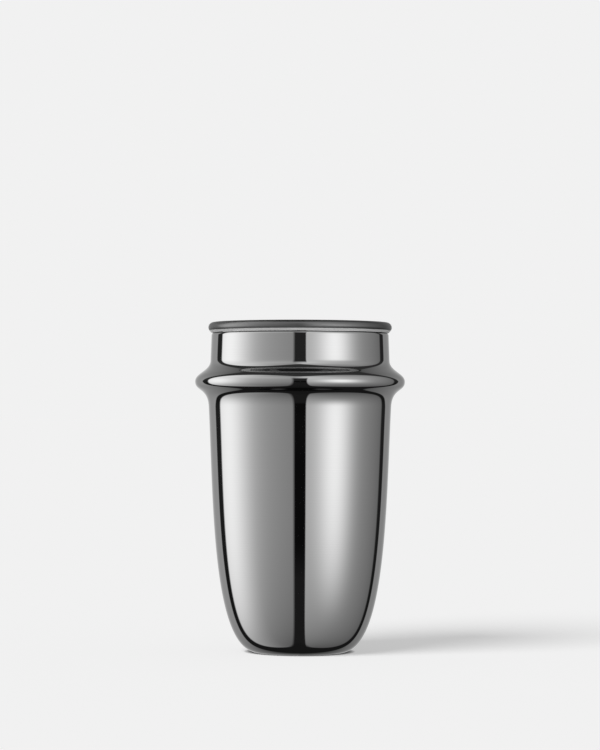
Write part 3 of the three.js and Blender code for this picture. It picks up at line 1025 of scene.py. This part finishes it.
# %% [markdown]
# The pill is a disc with rounded edges, as it comes from the press. All its sizes but the rounding are read
# from its solid. A cylinder with a bevel would do as well; turning it keeps one way of working for all
# round pieces.

# %% Press the pill
GETTER_ROUND = 0.3
getter_low, getter_high = (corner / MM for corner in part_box("getter"))
pill_inner = getter_high.x - GETTER_ROUND
pill_lower = getter_low.z + GETTER_ROUND
pill_upper = getter_high.z - GETTER_ROUND
getter_runs = [
    line(at(0, getter_low.z), at(pill_inner, getter_low.z), steps=4),
    arc(at(pill_inner, pill_lower), GETTER_ROUND, -QUARTER, 0, steps=6),
    line(at(getter_high.x, pill_lower), at(getter_high.x, pill_upper), steps=2),
    arc(at(pill_inner, pill_upper), GETTER_ROUND, 0, QUARTER, steps=6),
    line(at(pill_inner, getter_high.z), at(0, getter_high.z), steps=4),
]
pill = turn_piece("getter_pill", follow(getter_runs), powder, closed=False, facets=SMALL_FACETS)
set_piece(pill, "getter")

# %% [markdown]
# A bent strap of plain strip steel holds the pill. It is the only piece that isn't round: its side is drawn
# as a sheet along a bent path, with two feet, two legs and a bridge. A curve with a flat profile could be
# bent the same way; a drawn side gives exact inner and outer bends.

# %% Draw the side of the strap
STRAP = 0.4
strap_low, strap_high = (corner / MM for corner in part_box("getter_clip"))
leg = getter_high.x + SEAT + STRAP
strap_bend = INNER_BEND + STRAP
foot_inner = leg + INNER_BEND
foot_under = strap_high.z - STRAP
foot_bend = foot_under - INNER_BEND
bridge_bend = strap_low.z + strap_bend
bridge_end = leg - strap_bend
strap_runs = [
    line(at(-strap_high.x, foot_under), at(-foot_inner, foot_under)),
    arc(at(-foot_inner, foot_bend), INNER_BEND, QUARTER, 0, steps=6),
    line(at(-leg, foot_bend), at(-leg, bridge_bend)),
    arc(at(-bridge_end, bridge_bend), strap_bend, 2 * QUARTER, 3 * QUARTER, steps=6),
    line(at(-bridge_end, strap_low.z), at(bridge_end, strap_low.z)),
    arc(at(bridge_end, bridge_bend), strap_bend, -QUARTER, 0, steps=6),
    line(at(leg, bridge_bend), at(leg, foot_bend)),
    arc(at(foot_inner, foot_bend), INNER_BEND, 2 * QUARTER, QUARTER, steps=6),
    line(at(foot_inner, foot_under), at(strap_high.x, foot_under)),
]
strap_section = sheet_section(strap_runs, STRAP)
print("the strap's side has", len(strap_section), "corners")

# %% [markdown]
# The side is made one face and pulled out to the width of the strip. A small bevel then breaks the edges,
# as they are on cut strip; edges that only follow the bends are left alone.

# %% Pull out the strap
STRAP_EDGE = 0.06
SHARP_CORNER = math.radians(60)

strap_build = bmesh.new()
side_corners = [strap_build.verts.new((p.x * MM, strap_low.y * MM, p.y * MM)) for p in strap_section]
strap_side = strap_build.faces.new(side_corners)
pulled = bmesh.ops.extrude_face_region(strap_build, geom=[strap_side])["geom"]
moved = [item for item in pulled if isinstance(item, bmesh.types.BMVert)]
bmesh.ops.translate(strap_build, verts=moved, vec=(0, (strap_high.y - strap_low.y) * MM, 0))
bmesh.ops.recalc_face_normals(strap_build, faces=strap_build.faces)
cut_edges = [edge for edge in strap_build.edges if edge.calc_face_angle() > SHARP_CORNER]
bmesh.ops.bevel(strap_build, geom=cut_edges, offset=STRAP_EDGE * MM,
                segments=2, profile=0.5, affect="EDGES")
bmesh.ops.recalc_face_normals(strap_build, faces=strap_build.faces)
strap_mesh = bpy.data.meshes.new("getter_strap")
strap_build.to_mesh(strap_mesh)
strap_build.free()
strap = bpy.data.objects.new("getter_strap", strap_mesh)
scene.collection.objects.link(strap)
print("the strap has", len(strap_mesh.polygons), "faces")

# %% [markdown]
# Strip steel comes off the rolls with straight marks along its length. They are a noise that is squeezed
# hard across the strip, and it drives the colour, the roughness and a trace of relief.

# %% Mix the strip steel
STRIP_MARKS = (60.0, 9000.0, 60.0)
STRIP_POLISH = (0.28, 0.42)

strip, strip_tree, strip_shader = new_material("strip_steel")
strip_place = {"Vector": object_place(strip_tree), "Scale": STRIP_MARKS}
along_strip = next_node("ShaderNodeMapping", strip_place)[0]
roll_marks = noise(along_strip, scale=1.0, detail=3.0, roughness=0.6)
set_inputs(strip_shader, {
    "Base Color": tone(roll_marks, grey(0.34), (0.45, 0.45, 0.46, 1)),
    "Roughness": map_range(roll_marks, *NOISE_SPAN, *STRIP_POLISH),
    "Normal": bump(roll_marks, depth=0.01 * MM, strength=0.3),
    "Metallic": 1.0,
})
strap_mesh.materials.append(strip)
set_piece(strap, "getter_clip")

# %% [markdown]
# ## The closed base
# A pressed disc closes the vacuum space inside the foot's collar. It is a shallow cup of sheet with its rim
# down and a dimple pushed up in the middle; the air is drawn out through a hole in the dimple. The press
# leaves it duller than the shell, so it takes the same turned metal with a rougher polish. The dimple could
# be sculpted; a free curve with level ends gives it in one run.

# %% Press the vacuum base
BASE_SHEET = 0.5
DIMPLE_TOP = 2.6
DIMPLE_WIDTH = 3.0
DIMPLE_HEIGHT = 1.2
HOLE_RADIUS = 0.8
base_low, base_high = (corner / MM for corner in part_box("vacuum_base"))
base_radius = collar_radius - SEAT
base_bend = INNER_BEND + BASE_SHEET
dimple_edge = DIMPLE_TOP + DIMPLE_WIDTH
base_top = base_high.z - DIMPLE_HEIGHT
base_runs = [
    line(at(base_radius, base_low.z), at(base_radius, base_top - base_bend), steps=2),
    arc(at(base_radius - base_bend, base_top - base_bend), base_bend, 0, QUARTER, steps=8),
    line(at(base_radius - base_bend, base_top), at(dimple_edge, base_top), steps=6),
    blend(at(dimple_edge, base_top), INWARDS, DIMPLE_WIDTH / 2,
          at(DIMPLE_TOP, base_high.z), INWARDS, DIMPLE_WIDTH / 2, steps=14),
    line(at(DIMPLE_TOP, base_high.z), at(HOLE_RADIUS, base_high.z), steps=2),
]
base_section = sheet_section(base_runs, BASE_SHEET)
pressed_steel = worn_metal("pressed_steel", grey(0.41), (0.49, 0.49, 0.5, 1),
                           polish=(0.24, 0.42), lines=1500.0, relief=0.03)
base = turn_piece("pressed_vacuum_base", base_section, pressed_steel, closed=True, facets=SMALL_FACETS)
set_piece(base, "vacuum_base")

# %% [markdown]
# A pellet of solder glass melts into the hole at the end and seals it. Melted glass hangs as a round drop,
# so the section is a quarter of an ellipse with a short stem above it that fills the hole. A flattened ball
# would do for the drop, but drop and stem have to be one closed skin. The glass is dark and glossy, with
# soft changes of tone where it flowed.

# %% Melt the pellet
PELLET_RADIUS = 2.2
PELLET_EDGE = 0.15
DROP_STEPS = 16
GLASS_POLISH = (0.06, 0.2)
pellet_low, pellet_high = (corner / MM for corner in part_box("seal_pellet"))
pellet_top = base_high.z - BASE_SHEET - SEAT
pellet_shoulder = pellet_top - PELLET_EDGE
drop_height = pellet_shoulder - pellet_low.z
drop_angles = [QUARTER * i / DROP_STEPS for i in range(DROP_STEPS + 1)]
drop = [at(PELLET_RADIUS * math.sin(a), pellet_shoulder - drop_height * math.cos(a)) for a in drop_angles]
stem = HOLE_RADIUS - SEAT
stem_points = [at(stem, pellet_top), at(stem, pellet_high.z), at(0, pellet_high.z)]
pellet_section = drop + [at(PELLET_RADIUS, pellet_top)] + stem_points
glass, glass_tree, glass_shader = new_material("solder_glass")
flow = noise(object_place(glass_tree), scale=700.0, detail=3.0)
set_inputs(glass_shader, {
    "Base Color": tone(flow, (0.05, 0.042, 0.036, 1), (0.095, 0.08, 0.066, 1)),
    "Roughness": map_range(flow, *NOISE_SPAN, *GLASS_POLISH),
    "Normal": bump(flow, depth=0.05 * MM, strength=0.15),
})
pellet = turn_piece("solder_glass_pellet", pellet_section, glass, closed=False, facets=SMALL_FACETS)
set_piece(pellet, "seal_pellet")

# %% [markdown]
# A cover disc hides the base and the pellet; it is the face that is seen when the cup is tipped. It is spun
# on a lathe, so its middle is a shallow dome and its lines are plain rings, clearer than on the shell. A
# flat disc would do for a base that stays down, but a real dome bends what it mirrors.

# %% Spin the cover
COVER_DOME = 0.3
cover_low, cover_high = (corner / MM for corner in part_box("base_cover"))
cover_flat = base_radius - base_bend
cover_rise = cover_low.z + base_bend
cover_runs = [
    blend(at(0, cover_low.z + COVER_DOME), OUTWARDS, cover_flat / 2,
          at(cover_flat, cover_low.z), OUTWARDS, cover_flat / 2, steps=24),
    arc(at(cover_flat, cover_rise), base_bend, -QUARTER, 0, steps=8),
    line(at(base_radius, cover_rise), at(base_radius, cover_high.z), steps=2),
]
cover_section = sheet_section(cover_runs, BASE_SHEET)
cover_steel = worn_metal("cover_steel", grey(0.32), grey(0.36),
                         polish=(0.07, 0.2), lines=1800.0, relief=0.03)
cover = turn_piece("spun_base_cover", cover_section, cover_steel, closed=False)
set_piece(cover, "base_cover")
